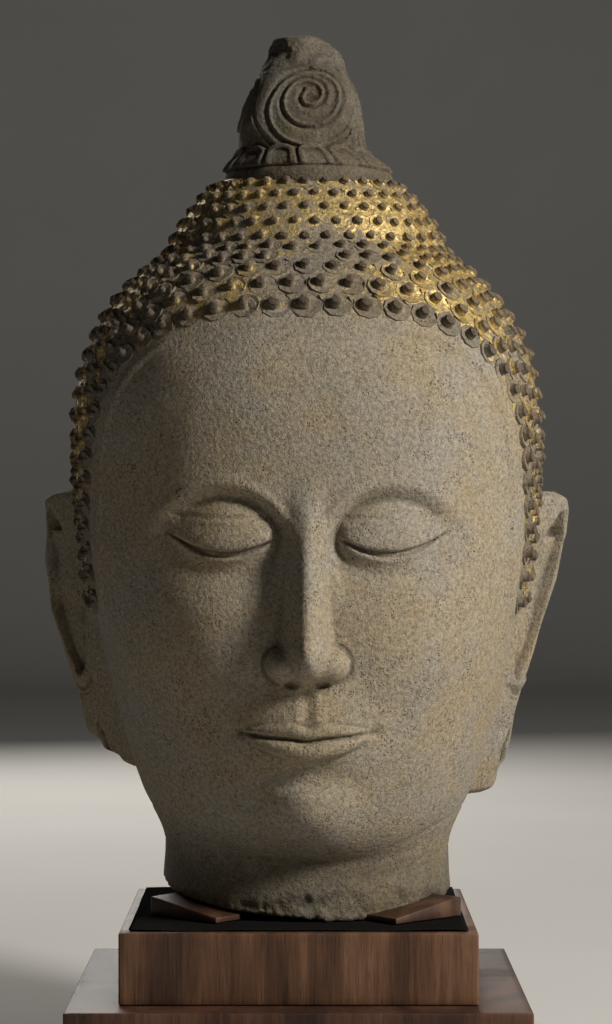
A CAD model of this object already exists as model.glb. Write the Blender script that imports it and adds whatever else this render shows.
# %% [markdown]
# # A sandstone Buddha head on a stepped plinth
#
# This notebook carves one object: a large stone head with snail-shell curls, long ears and a
# scrolled finial. It stands on a black felt mat on two wooden blocks, held level by two wedges.
# The CAD model gives every piece its size and place. Blender gives it its surface.
#
# The head is one stone, so here it becomes one mesh. Its skin is carved from a turned blank by
# formulas, and the curls, ears and finial are modelled apart and joined to it at the end.

import math

import bmesh
import bpy
import numpy as np
from mathutils import Matrix, Vector


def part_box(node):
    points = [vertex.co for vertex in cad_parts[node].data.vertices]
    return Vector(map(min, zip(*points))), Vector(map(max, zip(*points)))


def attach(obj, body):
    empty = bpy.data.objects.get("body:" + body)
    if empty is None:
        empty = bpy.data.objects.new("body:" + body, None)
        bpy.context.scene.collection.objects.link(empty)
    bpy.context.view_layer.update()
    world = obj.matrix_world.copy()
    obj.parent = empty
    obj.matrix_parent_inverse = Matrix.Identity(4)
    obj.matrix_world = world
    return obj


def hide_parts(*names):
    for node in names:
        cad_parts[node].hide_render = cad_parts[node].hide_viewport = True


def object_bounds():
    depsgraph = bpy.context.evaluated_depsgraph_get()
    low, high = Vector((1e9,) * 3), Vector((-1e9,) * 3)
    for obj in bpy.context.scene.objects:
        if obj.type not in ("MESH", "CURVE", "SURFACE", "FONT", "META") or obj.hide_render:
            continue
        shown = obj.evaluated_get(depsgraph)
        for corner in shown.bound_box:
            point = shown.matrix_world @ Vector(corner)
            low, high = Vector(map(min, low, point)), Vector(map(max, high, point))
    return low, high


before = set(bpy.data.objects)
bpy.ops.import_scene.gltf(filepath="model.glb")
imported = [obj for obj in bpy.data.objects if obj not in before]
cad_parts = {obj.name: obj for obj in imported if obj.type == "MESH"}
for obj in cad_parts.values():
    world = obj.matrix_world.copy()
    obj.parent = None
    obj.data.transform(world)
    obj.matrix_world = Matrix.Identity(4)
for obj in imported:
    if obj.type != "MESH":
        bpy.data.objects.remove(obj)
CAD_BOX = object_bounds()
print("CAD box:", [[round(value, 4) for value in corner] for corner in CAD_BOX])

# %% [markdown]
# ## Camera, floor and light
#
# A long lens from about two metres keeps the head's proportions true, as a museum would take
# it. The camera looks level at the middle of the object. One large soft light stands high on
# the right, a weak one on the left keeps the shadow side readable, and one behind lights
# the back of the head.

# %% Camera
LENS = 100
VIEW_DISTANCE = 2.227

low, high = (Vector(corner) for corner in CAD_BOX)
block_low, block_high = (Vector(corner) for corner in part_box("plinth_upper_block"))


def aim(thing, target):
    """Turn a camera or a light so that it looks at a point."""
    toward = Vector(target) - thing.location
    thing.rotation_euler = toward.to_track_quat("-Z", "Y").to_euler()


camera_data = bpy.data.cameras.new("camera")
camera_data.lens = LENS
camera_data.sensor_width = 36
camera = bpy.data.objects.new("camera", camera_data)
bpy.context.scene.collection.objects.link(camera)
camera.location = (0.0055, -VIEW_DISTANCE, 0.42)
aim(camera, (0.0055, 0, 0.42))
bpy.context.scene.camera = camera
print("camera stands", VIEW_DISTANCE, "m in front, level at", camera.location.z, "m")

# %% Floor and backdrop
FLOOR_DEPTH = 6.0
WALL_HEIGHT = 4.5
BEND_RADIUS = 1.5


def pale_sweep():
    """A photographer's paper sweep: a floor that bends up into a wall."""
    sweep = bmesh.new()
    front = sweep.verts.new((-6, -5, 0))
    back = sweep.verts.new((-6, FLOOR_DEPTH - BEND_RADIUS, 0))
    sweep.edges.new((front, back))
    bend = bmesh.ops.spin(
        sweep, geom=[back], cent=(-6, FLOOR_DEPTH - BEND_RADIUS, BEND_RADIUS),
        axis=(1, 0, 0), angle=math.pi / 2, steps=24)
    top = bmesh.ops.extrude_vert_indiv(
        sweep, verts=[item for item in bend["geom_last"] if isinstance(item, bmesh.types.BMVert)])
    bmesh.ops.translate(sweep, verts=top["verts"], vec=(0, 0, WALL_HEIGHT))
    wide = bmesh.ops.extrude_edge_only(sweep, edges=sweep.edges[:])
    verts = [item for item in wide["geom"] if isinstance(item, bmesh.types.BMVert)]
    bmesh.ops.translate(sweep, verts=verts, vec=(12, 0, 0))
    bmesh.ops.recalc_face_normals(sweep, faces=sweep.faces[:])
    mesh = bpy.data.meshes.new("floor")
    sweep.to_mesh(mesh)
    sweep.free()
    mesh.shade_smooth()
    floor = bpy.data.objects.new("floor", mesh)
    bpy.context.scene.collection.objects.link(floor)
    return floor


floor = pale_sweep()
print("floor sweep:", len(floor.data.polygons), "faces")

# %% Lights
KEY = {"place": (1.95, -1.25, 1.55), "size": 0.55, "power": 86, "color": (1.0, 0.965, 0.91)}
FILL = {"place": (-2.2, -1.2, 0.9), "size": 1.4, "power": 0.9, "color": (1.0, 0.97, 0.92)}
RIM = {"place": (-0.5, 2.3, 1.5), "size": 1.6, "power": 40, "color": (1.0, 0.96, 0.9)}


def soft_light(name, place, size, power, color):
    data = bpy.data.lights.new(name, "AREA")
    data.size = size
    data.energy = power
    data.color = color
    light = bpy.data.objects.new(name, data)
    light.location = place
    bpy.context.scene.collection.objects.link(light)
    aim(light, (0, 0, 0.42))
    return light


for name, facts in {"key": KEY, "fill": FILL, "rim": RIM}.items():
    soft_light(name, **facts)

world = bpy.data.worlds.new("studio")
world.use_nodes = True
world.node_tree.nodes["Background"].inputs["Color"].default_value = (0.5, 0.5, 0.5, 1)
WORLD_LIGHT = 0.022
world.node_tree.nodes["Background"].inputs["Strength"].default_value = WORLD_LIGHT
bpy.context.scene.view_settings.view_transform = "Standard"
bpy.context.scene.world = world
print("lights:", [item.name for item in bpy.data.lights])

# %% [markdown]
# ## Writing materials as sums
#
# A material is a net of nodes, but most of it is plain arithmetic on patterns. One small class
# stands for the output of a node and turns + - * / into Math nodes, so a mask can be written
# as 1 - dirt * 0.5. A second class holds one material and adds every other kind of node
# through a single method: first the node's settings, then its inputs.

# %% Values and paints
class Value:
    """The output of a node. Arithmetic on it adds Math nodes."""

    def __init__(self, paint, socket):
        self.paint = paint
        self.socket = socket

    def __add__(self, other):
        return self.paint.math("ADD", self, other)

    def __sub__(self, other):
        return self.paint.math("SUBTRACT", self, other)

    def __rsub__(self, other):
        return self.paint.math("SUBTRACT", other, self)

    def __mul__(self, other):
        return self.paint.math("MULTIPLY", self, other)

    def __truediv__(self, other):
        return self.paint.math("DIVIDE", self, other)

    def __rtruediv__(self, other):
        return self.paint.math("DIVIDE", other, self)

    def __pow__(self, other):
        return self.paint.math("POWER", self, other)

    __radd__ = __add__
    __rmul__ = __mul__


class Paint:
    """One material and the nodes that make it."""

    def __init__(self, name, **constants):
        self.material = bpy.data.materials.new(name)
        self.material.use_nodes = True
        self.tree = self.material.node_tree
        self.shader = self.tree.nodes["Principled BSDF"]
        for socket, value in constants.items():
            self.shader.inputs[socket.replace("_", " ")].default_value = value

    def node(self, kind, settings, inputs, output=0):
        node = self.tree.nodes.new(kind)
        for setting, value in settings.items():
            if setting == "stops":
                self.set_stops(node.color_ramp, value)
            else:
                setattr(node, setting, value)
        for key, value in inputs.items():
            self.put(node.inputs[key], value)
        return Value(self, node.outputs[output])

    def put(self, socket, value):
        if isinstance(value, Value):
            self.tree.links.new(value.socket, socket)
        elif isinstance(value, tuple) and len(value) == 3 and socket.type == "RGBA":
            socket.default_value = (*value, 1)
        else:
            socket.default_value = value

    def set_stops(self, ramp, stops):
        while len(ramp.elements) < len(stops):
            ramp.elements.new(1)
        for element, (at, color) in zip(ramp.elements, stops):
            element.position = at
            element.color = (*color, 1)

    def math(self, operation, a, b=0.0):
        return self.node("ShaderNodeMath", {"operation": operation}, {0: a, 1: b})

    def clamped(self, value):
        return self.node("ShaderNodeClamp", {}, {"Value": value})

    def place(self, scale=(1, 1, 1), turn=(0, 0, 0)):
        """The point on the piece, stretched and turned for a pattern."""
        point = self.node("ShaderNodeTexCoord", {}, {}, "Object")
        return self.node("ShaderNodeMapping", {}, {"Vector": point, "Rotation": turn,
            "Scale": scale})

    def part(self, axis, vector):
        return self.node("ShaderNodeSeparateXYZ", {}, {"Vector": vector}, axis)

    def stored(self, name):
        return self.node("ShaderNodeAttribute", {"attribute_name": name}, {}, "Fac")

    def noise(self, scale, detail=3.0, rough=0.5, vector=None, distortion=0.0):
        vector = vector or self.place()
        return self.node(
            "ShaderNodeTexNoise", {},
            {"Vector": vector, "Scale": scale, "Detail": detail, "Roughness": rough,
                "Distortion": distortion})

    def cells(self, scale, vector=None, output="Distance"):
        return self.node(
            "ShaderNodeTexVoronoi", {}, {"Vector": vector or self.place(), "Scale": scale}, output)

    def step(self, value, low_end, high_end):
        """A soft step from 0 to 1 as a value goes from one end to the other."""
        return self.node(
            "ShaderNodeMapRange", {"interpolation_type": "SMOOTHSTEP"},
            {"Value": value, "From Min": low_end, "From Max": high_end})

    def mix(self, share, a, b, blend="MIX"):
        return self.node(
            "ShaderNodeMix", {"data_type": "RGBA", "blend_type": blend}, {0: share, 6: a, 7: b}, 2)

    def ramp(self, value, stops):
        return self.node("ShaderNodeValToRGB", {"stops": stops}, {"Fac": value})

    def cavity(self):
        """0 in hollows and 1 on ridges, about one half on plain faces."""
        return self.node("ShaderNodeNewGeometry", {}, {}, "Pointiness")

    def bump(self, height, distance, strength=1.0):
        return self.node(
            "ShaderNodeBump", {}, {"Strength": strength, "Distance": distance,
                "Height": height}, "Normal")

    def set(self, **links):
        for socket, value in links.items():
            self.put(self.shader.inputs[socket.replace("_", " ")], value)


print("arithmetic on shader values is ready")

# %% [markdown]
# ## Sandstone and worn gilding
#
# The stone is a fine grey-brown sandstone: close up it is a tight speckle of pale and dark
# grains, from afar it is clouded with warmer and greyer patches. Dirt lies in its hollows and
# a few pale rubs cross it. The hair was once gilded. Leaf has stayed on the flanks of the curls
# and between them, while the tips are rubbed down to a dark brown skin. The gold is strongest
# on the sides and under the finial, and almost gone from the row along the forehead.

# %% Sandstone
STONE_WARM = (0.270, 0.222, 0.152)
STONE_GREY = (0.250, 0.222, 0.178)
STONE_PALE = (0.500, 0.455, 0.370)
STONE_DARK = (0.052, 0.042, 0.030)
TIP_BROWN = (0.085, 0.062, 0.042)
SOOT_TINT = (0.21, 0.20, 0.18)
GOLD_BRIGHT = (0.640, 0.470, 0.185)
GOLD_DULL = (0.300, 0.225, 0.105)

stone = Paint("gilded sandstone", Specular_IOR_Level=0.28)
grain = stone.noise(900, 2.0, 0.6)
coarse_grain = stone.noise(330, 2.0, 0.5)
clouds = stone.noise(11, 4.0, 0.55, distortion=0.6)
patches = stone.noise(34, 3.0, 0.6)
specks = stone.cells(420)
pits = stone.step(specks, 0.30, 0.12) * stone.step(stone.noise(60, 2.0), 0.50, 0.66)

body = stone.mix(stone.step(clouds, 0.36, 0.64), STONE_WARM, STONE_GREY)
body = stone.mix(0.55 * stone.step(patches, 0.42, 0.66), body, STONE_PALE, "SOFT_LIGHT")
speckle = 0.5 + 0.95 * (grain - 0.5) + 0.75 * (coarse_grain - 0.5)
body = stone.mix(1.0, body, stone.ramp(speckle, [(0.18, (0.42, 0.42, 0.42)), (0.5, (1, 1, 1)),
    (0.82, (1.5, 1.5, 1.5))]), "MULTIPLY")
body = stone.mix(0.75 * pits, body, STONE_DARK)

hollow = stone.step(stone.cavity(), 0.500, 0.455)
body = stone.mix(0.5 * hollow, body, STONE_DARK)

rub_noise = stone.noise(16, 5.0, 0.7, vector=stone.place((1, 1, 2.2)), distortion=0.4)
rubs = stone.step(rub_noise, 0.645, 0.74) * stone.step(grain, 0.38, 0.62)
body = stone.mix(0.6 * rubs, body, STONE_PALE)
print("stone colours: warm", STONE_WARM, "grey", STONE_GREY)

# %% Gilding
is_curl = stone.stored("is_curl")
rise = stone.stored("rise")
chance = stone.stored("chance")
gilt_share = stone.stored("gilt")
soot = stone.stored("soot")
leaf_noise = stone.noise(75, 4.0, 0.65)
flake_noise = stone.noise(240, 3.0, 0.7)

rubbed = rise + 0.5 * (leaf_noise - 0.5) + 0.25 * (flake_noise - 0.5)
tip = stone.step(rubbed, 0.46, 0.66) * is_curl
soot_noise = stone.noise(28, 4.0, 0.6)
sooty = stone.clamped(soot * (0.75 + 0.7 * (soot_noise - 0.5)))
body = stone.mix(sooty, body, stone.mix(1.0, body, SOOT_TINT, "MULTIPLY"))
curl_stone = stone.mix(0.30 * is_curl, body, TIP_BROWN)
curl_stone = stone.mix(0.8 * tip, curl_stone, TIP_BROWN)

leaf = gilt_share + 0.9 * (leaf_noise - 0.5) + 1.25 * (flake_noise - 0.5) + 0.3 * (chance - 0.5)
leaf = stone.step(leaf, 0.45, 0.60) * (1 - 0.85 * tip)
gold = stone.mix(stone.step(flake_noise, 0.35, 0.65), GOLD_DULL, GOLD_BRIGHT)
gold = stone.mix(0.35 * hollow, gold, GOLD_DULL)
surface = stone.mix(leaf, curl_stone, gold)

relief_height = 0.5 * grain + 0.9 * coarse_grain + 0.8 * leaf_noise * is_curl - 1.6 * pits
stone.set(
    Base_Color=surface,
    Metallic=0.60 * leaf,
    Roughness=0.86 - 0.38 * leaf,
    Normal=stone.bump(relief_height, 0.0011, 0.85))
print("gilding covers the curls by the share stored in 'gilt'")

# %% [markdown]
# ## Wood and felt
#
# Both blocks are dark hardwood, oiled rather than polished. Their fronts show end-on growth
# that runs as fine upright streaks, with a broad flame in the upper block. The lower block is
# redder and darker. The wedges are offcuts of a redder wood. The felt is a dead black nap with
# a little grey dust.

# %% Woods
def hardwood(name, dark, mid, light, streak, flame, rough=0.5, along=(1, 1, 0.09)):
    wood = Paint(name, Specular_IOR_Level=0.35)
    drift = wood.noise(9, 2.0, 0.5, vector=wood.place((1, 1, 0.25)))
    fine = wood.noise(streak, 4.0, 0.62, vector=wood.place(along), distortion=0.25)
    hair = wood.noise(streak * 5.5, 2.0, 0.6, vector=wood.place((1, 1, along[2] * 0.45)))
    bands = wood.noise(flame, 2.0, 0.45, vector=wood.place((1, 0.6, 0.22)), distortion=1.1)
    rings = wood.math("SINE", 34 * bands + 5 * drift) * 0.5 + 0.5
    tone = 0.46 * fine + 0.26 * hair + 0.20 * rings + 0.24 * drift - 0.06
    color = wood.ramp(tone, [(0.34, dark), (0.52, mid), (0.70, light)])
    pores = wood.step(wood.noise(streak * 9, 2.0, 0.5, vector=wood.place((1, 1, 0.04))), 0.60, 0.72)
    color = wood.mix(0.5 * pores, color, dark)
    worn = wood.step(wood.cavity(), 0.53, 0.62)
    color = wood.mix(0.45 * worn, color, light)
    grime = wood.step(wood.noise(14, 4.0, 0.6), 0.52, 0.72)
    color = wood.mix(0.35 * grime, color, dark)
    wood.set(
        Base_Color=color,
        Roughness=rough + 0.22 * (fine - 0.5) + 0.12 * grime,
        Normal=wood.bump(fine + 0.5 * hair - 0.8 * pores, 0.0005, 0.55))
    return wood.material


upper_wood = hardwood("upper block wood", (0.034, 0.015, 0.0075), (0.100, 0.046, 0.023), (0.180,
    0.092, 0.048), 130, 7)
lower_wood = hardwood("lower block wood", (0.022, 0.0100, 0.0062), (0.060, 0.026, 0.015), (0.110,
    0.052, 0.030), 190, 5)
wedge_wood = hardwood("wedge wood", (0.020, 0.0085, 0.0050), (0.054, 0.0240, 0.0130), (0.100,
    0.050, 0.028), 90, 12, along=(0.4, 0.4, 1))
print("woods:", upper_wood.name, lower_wood.name, wedge_wood.name)

# %% Felt
def black_felt():
    felt = Paint("black felt", Specular_IOR_Level=0.0)
    nap = felt.noise(700, 3.0, 0.7)
    fibres = felt.noise(1500, 2.0, 0.6, vector=felt.place((1, 0.3, 1)))
    dust = felt.step(felt.noise(26, 4.0, 0.65), 0.56, 0.78)
    color = felt.ramp(0.5 * nap + 0.5 * fibres, [(0.3, (0.004, 0.004, 0.0045)), (0.7, (0.019,
        0.018, 0.018))])
    color = felt.mix(0.12 * dust, color, (0.050, 0.045, 0.040))
    felt.set(Base_Color=color, Roughness=0.92 + 0.06 * nap, Normal=felt.bump(nap + 0.6 * fibres,
        0.0006, 0.8))
    return felt.material


felt = black_felt()


def dress(piece, material):
    piece.data.materials.clear()
    piece.data.materials.append(material)


floor_paint = Paint("pale floor", Roughness=0.9, Specular_IOR_Level=0.1)
floor_paint.set(Base_Color=floor_paint.ramp(
    floor_paint.noise(2.5, 2.0), [(0.0, (0.50, 0.49, 0.47)), (1.0, (0.56, 0.55, 0.53))]))
dress(floor, floor_paint.material)
print("felt and floor are ready")

# %% [markdown]
# ## Small helpers for carving
#
# The skin is carved by formulas that run over all of its points at once with numpy. A formula
# is built from a few soft tools: a smooth step from 0 to 1, a smooth maximum that melts two
# forms together, a bell for narrow ridges and grooves, and a curve through a few knots.

# %% Soft tools
def smoothstep(low_end, high_end, value):
    t = np.clip((value - low_end) / (high_end - low_end), 0, 1)
    return t * t * (3 - 2 * t)


def smooth_max(a, b, blend):
    share = np.clip(0.5 + 0.5 * (a - b) / blend, 0, 1)
    return b * (1 - share) + a * share + blend * share * (1 - share)


def superellipse(t, power):
    return (1 - np.clip(t, 0, 1) ** power) ** (1 / power)


def bell(value, width):
    return np.exp(-(value / width) ** 2)


def swell(x, height, mid_x, mid_height, radius_x, radius_height, power=2.0):
    """A round swelling, 1 in the middle and 0 at its edge."""
    out = ((x - mid_x) / radius_x) ** 2 + ((height - mid_height) / radius_height) ** 2
    return np.clip(1 - out, 0, 1) ** power


def curve(knots, at, soften=0.04):
    """A smooth curve close to the knots: straight lines whose corners are rounded off."""
    knots_at, values = np.array(knots, float).T
    fine = np.linspace(knots_at[0], knots_at[-1], 401)
    line = np.interp(fine, knots_at, values)
    width = max(3, int(401 * soften))
    window = np.hanning(2 * width + 1)
    padded = np.concatenate([
        2 * line[0] - line[width:0:-1], line, 2 * line[-1] - line[-2:-width - 2:-1]])
    smooth = np.convolve(padded, window / window.sum(), "valid")
    return np.interp(at, fine, smooth)


def roughness(points, grain, seed):
    """Smooth random values from -1 to 1 that change over a distance of about one grain."""
    cell = points / grain + 1000.0 + 17.3 * seed
    whole = np.floor(cell).astype(np.int64)
    part = cell - whole
    part = part * part * (3 - 2 * part)
    total = np.zeros(len(points))
    for corner in range(8):
        step = np.array([corner & 1, corner >> 1 & 1, corner >> 2 & 1])
        at = whole + step
        mixed = (at[:, 0] * 73856093) ^ (at[:, 1] * 19349663) ^ (at[:, 2] * 83492791) ^ (seed
            * 2654435)
        value = ((mixed * 1103515245 + 12345) & 0xFFFFF) / 0xFFFFF
        weight = np.prod(np.where(step == 1, part, 1 - part), axis=1)
        total += weight * (2 * value - 1)
    return total


print("curve through three knots at 1.5:", round(float(curve([(0, 0), (1, 1), (2, 0)], 1.5)), 3))

# %% [markdown]
# ## Blanks
#
# Every carved form here starts as the same simple blank: a flat grid of rows and columns that
# is rolled up into a can and then moved point by point by formulas. Rows and columns are set
# close together where the carving is fine, such as at the eyes, and wide apart where it is
# hidden. Where a plain face would waste points, the Decimate modifier takes them out again.

# %% Blanks and how they are turned into objects
MM = 0.001


def spaced(segments):
    """Values that run through [start, end, step] segments, each with its own step."""
    values = []
    for start, end, step in segments:
        count = max(1, round((end - start) / step))
        values += [start + (end - start) * i / count for i in range(count)]
    return np.array(values + [segments[-1][1]])


def grid_blank(columns, rows):
    """A flat grid, with every point's column share from 0 to 1 and its row number."""
    blank = bmesh.new()
    bmesh.ops.create_grid(blank, x_segments=columns, y_segments=rows - 1, size=1)
    flat = np.array([vert.co for vert in blank.verts])
    column = (flat[:, 0] + 1) / 2
    row = np.rint((flat[:, 1] + 1) / 2 * (rows - 1)).astype(int)
    return blank, column, row


def carve(blank, places):
    """Moves every point of a blank to its new place and joins what has come together."""
    for vert, place in zip(blank.verts, places):
        vert.co = place
    bmesh.ops.remove_doubles(blank, verts=blank.verts[:], dist=1e-4)
    bmesh.ops.recalc_face_normals(blank, faces=blank.faces[:])


def as_object(name, work, to_row=None):
    mesh = bpy.data.meshes.new(name)
    work.to_mesh(mesh)
    work.free()
    mesh.shade_smooth()
    if to_row is not None:
        mesh.transform(to_row)
    piece = bpy.data.objects.new(name, mesh)
    bpy.context.scene.collection.objects.link(piece)
    return piece


def settle(piece):
    """Applies the modifiers of a piece to its mesh."""
    ready = piece.evaluated_get(bpy.context.evaluated_depsgraph_get())
    mesh = bpy.data.meshes.new_from_object(ready)
    piece.modifiers.clear()
    piece.data = mesh
    return piece


def triangles_in(piece):
    piece.data.calc_loop_triangles()
    return len(piece.data.loop_triangles)


def thin_out(piece, triangles):
    """Takes out the points that show least, until about so many triangles are left."""
    before = triangles_in(piece)
    modifier = piece.modifiers.new("thin out", "DECIMATE")
    modifier.ratio = min(1.0, triangles / before)
    settle(piece)
    print(f"{piece.name}: {before} triangles thinned to {triangles_in(piece)}")
    return piece


def set_attribute(piece, name, values):
    """Stores one number per vertex for the materials to read."""
    attribute = piece.data.attributes.new(name, "FLOAT", "POINT")
    every = np.broadcast_to(values, len(piece.data.vertices)).astype(np.float32)
    attribute.data.foreach_set("value", every)


print("steps of a sample spacing:", spaced([(0, 4, 2), (4, 6, 1)]))

# %% [markdown]
# ## The head's own frame
#
# The carving is worked out in millimetres. The head's axis is x = 0, y = 0 and heights count
# up from the flat under the neck, so the face looks along -Y. A "turn" is an angle about the
# axis: 0 on the right, minus a quarter turn at the face. At the end everything is moved to
# where the CAD model's head stands.

# %% The head's frame
LEFT_REACH = 212.3
BACK_REACH = 204.3

head_low, head_high = (Vector(corner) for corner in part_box("head"))
head_axis = Vector((head_low.x + LEFT_REACH * MM, head_high.y - BACK_REACH * MM, head_low.z))
TO_ROW = Matrix.Translation(head_axis) @ Matrix.Scale(MM, 4)
FRONT_TURN = -math.pi / 2
BACK_TURN = math.pi / 2
print("head's axis meets the mat at", [round(value, 4) for value in head_axis])

# %% [markdown]
# ## The egg of the head, the dome on it and the neck
#
# Without its curls the head is an egg. Its section is a rounded outline whose width and depth
# change with height. The neck and the dome on the crown are outlines of the same kind, melted
# into it with a smooth maximum.

# %% Sizes of the head
WIDEST = 366.5
CROWN_RISE = 163
HALF_WIDTH, FRONT_DEPTH, BACK_DEPTH = 178, 166, 196
DOME_BASE, DOME_HALF, DOME_FRONT, DOME_RISE = 478.5, 115, 98, 118
NECK_HALF, NECK_FRONT, NECK_BACK = 113.5, 106, 100
HEAD_TOP = DOME_BASE + DOME_RISE

HAIRLINE = 449.5
CHIN = 55
THIRD = (HAIRLINE - CHIN) / 3
BROW = HAIRLINE - THIRD
NOSE = BROW - THIRD
MOUTH = NOSE - THIRD / 3
EYE = 292.5
EYE_X, EYE_HALF = 62, 34
MOUTH_HALF = 47
print("thirds of the face:", round(THIRD, 1), "mm each")


# %% Section of the head at any height
def reach(height, full, top_power, drop, drop_power):
    above = superellipse((height - WIDEST) / CROWN_RISE, top_power)
    below = superellipse((WIDEST - height) / drop, drop_power)
    return full * np.where(height > WIDEST, above, below)


def outline(turn, half, front, back, power):
    """Distance from the axis to a rounded outline, in the direction of a turn."""
    depth = np.where(np.sin(turn) < 0, front, back)
    across = np.abs(np.cos(turn)) / np.maximum(half, 0.1)
    along = np.abs(np.sin(turn)) / np.maximum(depth, 0.1)
    return (across ** power + along ** power) ** (-1 / power)


def skin_radius(turn, height):
    jaw_power = 1.85 + 0.4 * smoothstep(70, 250, height)
    egg = outline(
        turn,
        reach(height, HALF_WIDTH, 2.3, 431, 1.8),
        reach(height, FRONT_DEPTH, 2.3, 331.5, 4.4),
        reach(height, BACK_DEPTH, 2.3, 360, 2),
        np.where(np.sin(turn) < 0, jaw_power, 2.25))
    waist = 1 - 0.02 * np.sin(math.pi * np.clip(height / 80, 0, 1))
    neck = outline(turn, NECK_HALF, NECK_FRONT, NECK_BACK, 2.1) * waist
    neck = neck * (1 - smoothstep(100, 200, height))
    dome_share = superellipse((height - DOME_BASE) / DOME_RISE, 1.7)
    dome = outline(turn, DOME_HALF * dome_share, DOME_FRONT * dome_share, DOME_HALF * dome_share, 2)
    dome = dome * smoothstep(400, 470, height)
    return smooth_max(smooth_max(egg, neck, 6), dome, 12)


def egg_point(turn, height):
    turn, height = np.broadcast_arrays(np.asarray(turn, float), np.asarray(height, float))
    radius = skin_radius(turn, height)
    return np.stack([radius * np.cos(turn), radius * np.sin(turn), height], -1)


def egg_normal(turn, height):
    along = egg_point(turn + 0.01, height) - egg_point(turn - 0.01, height)
    up = egg_point(turn, height + 1) - egg_point(turn, height - 1)
    out = np.cross(along, up)
    return out / np.linalg.norm(out, axis=-1, keepdims=True)


print("half width at the widest:", round(float(egg_point(0, WIDEST)[0]), 1), "mm")

# %% [markdown]
# ## The face
#
# The face is a calm, general one, laid out as drawing books teach it: hairline, brow, foot of
# the nose and chin a third apart, five eyes across, the mouth a third of the way from nose to
# chin. Each form is a gentle lift or hollow over the egg, so each can be tuned by itself. The
# eyes are lowered, so a broad upper lid covers the ball down to a narrow crescent.

# %% Brow and eye sockets
BROW_PEAK_X = 64
SOCKET_DEPTH = [(0, 16), (20, 15), (45, 12), (75, 8.5), (104, 4), (128, 0), (150, 0)]
NOSE_SIDE = [(190, 26), (215, 20), (250, 15), (280, 11), (300, 12), (318, 20), (335, 34)]


def brow_height(x):
    return BROW + 10 - 34 * ((x - BROW_PEAK_X) / 62) ** 2


def brow_and_nose_side(x, height):
    """Above 0 on the brow and the nose, below 0 in the eye's socket."""
    return smooth_max(height - brow_height(x), curve(NOSE_SIDE, height) - x, 16)


def socket_floor(x, height):
    below = 1 - smoothstep(-15, 1, brow_and_nose_side(x, height))
    return -curve(SOCKET_DEPTH, x) * below * smoothstep(228, 302, height)


def brow_ridge(x, height):
    """A fine raised band that follows the upper edge of the socket."""
    over = brow_and_nose_side(x, height) - 2.5
    reaches = (1 - smoothstep(96, 124, x)) * smoothstep(284, 296, height)
    return 1.1 * bell(over, 3.2) * reaches


# %% Eyes
BALL = {"height": 290.0, "radius_x": 42.0, "radius_height": 30.0, "low": -14.5, "rise": 17.0}
LID_STEP = 2.0
SLIT_DEPTH = 3.0


def lid_height(x):
    """The lowered edge of the upper lid, a shallow bow."""
    along = (x - EYE_X) / EYE_HALF
    return EYE - 12.5 + 8.6 * along ** 2 + 1.4 * along


def slit_height(x):
    along = (x - EYE_X) / EYE_HALF
    return 4.6 * np.clip(1 - along ** 2, 0, 1) ** 0.8


def eye_ball(x, height):
    out = ((x - EYE_X) / BALL["radius_x"]) ** 2
    out = out + ((height - BALL["height"]) / BALL["radius_height"]) ** 2
    inside = np.sqrt(np.clip(1 - out, 0, 1))
    return np.where(out < 1, BALL["low"] + BALL["rise"] * inside, BALL["low"])


def lids(x, height):
    along = (x - EYE_X) / EYE_HALF
    over = height - lid_height(x)
    within = smoothstep(-1.16, -0.94, along) * (1 - smoothstep(1.0, 1.3, along))
    upper = LID_STEP * smoothstep(-0.4, 0.9, over) * (1 - smoothstep(3, 17, over))
    opening = slit_height(x)
    slit = smoothstep(-opening - 1.6, -opening + 0.4, over) * (1 - smoothstep(-0.6, 0.5, over))
    lower = 1.1 * bell(over + opening + 3.2, 2.6)
    corner_line = 0.9 * bell(over + 0.6, 1.0)
    crease = 1.0 * bell(over - 24 + 6.5 * along ** 2, 2.0)
    return within * (upper + lower - SLIT_DEPTH * slit - corner_line) - crease * within


# %% Nose
RIDGE = [
    (170, 0), (177, 1), (182, 12), (188, 30), (194, 39.5), (201, 43.5), (209, 43), (222, 37.5),
    (250, 27.5), (280, 17.5), (300, 11), (318, 5), (334, 1), (346, 0)]
RIDGE_HALF = [
    (170, 22), (182, 24), (194, 25), (206, 24), (220, 21), (250, 18), (285, 15.5), (310, 15), (346,
        15)]
WING = {"x": 17.5, "height": 197.0, "radius_x": 14.5, "radius_height": 14.5, "lift": 27.0}


def nose(x, height):
    share = np.clip(x / curve(RIDGE_HALF, height), 0, 1)
    ridge = curve(RIDGE, height, 0.02) * (1 - share ** 2) ** 1.25
    ball = 2.5 * swell(x, height, 0, 204, 15, 15)
    off = ((x - WING["x"]) / WING["radius_x"]) ** 2
    off = off + ((height - WING["height"]) / WING["radius_height"]) ** 2
    wing = WING["lift"] * np.clip(1 - off, 0, 1) ** 0.62
    whole = smooth_max(ridge + ball, wing, 11)
    outside = smoothstep(1.0, 7.0, x - WING["x"] + 0.25 * (height - WING["height"]))
    groove = 1.1 * bell(np.sqrt(off) - 1.02, 0.12) * outside
    nostril = 8.0 * swell(x, height, 11.0, 183.5, 7.5, 5.0, 1.0)
    return whole - groove - nostril


# %% Mouth and chin
def mouth_line(x):
    return MOUTH + 4.2 * np.clip(x / MOUTH_HALF, 0, 1) ** 2.4 - 1.6 * bell(x, 9)


def upper_lip(x):
    bow = 1 - 0.2 * bell(x, 7) + 0.06 * bell(x - 13, 8)
    return 12.2 * np.clip(1 - (x / MOUTH_HALF) ** 1.7, 0, 1) ** 0.72 * bow


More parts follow.
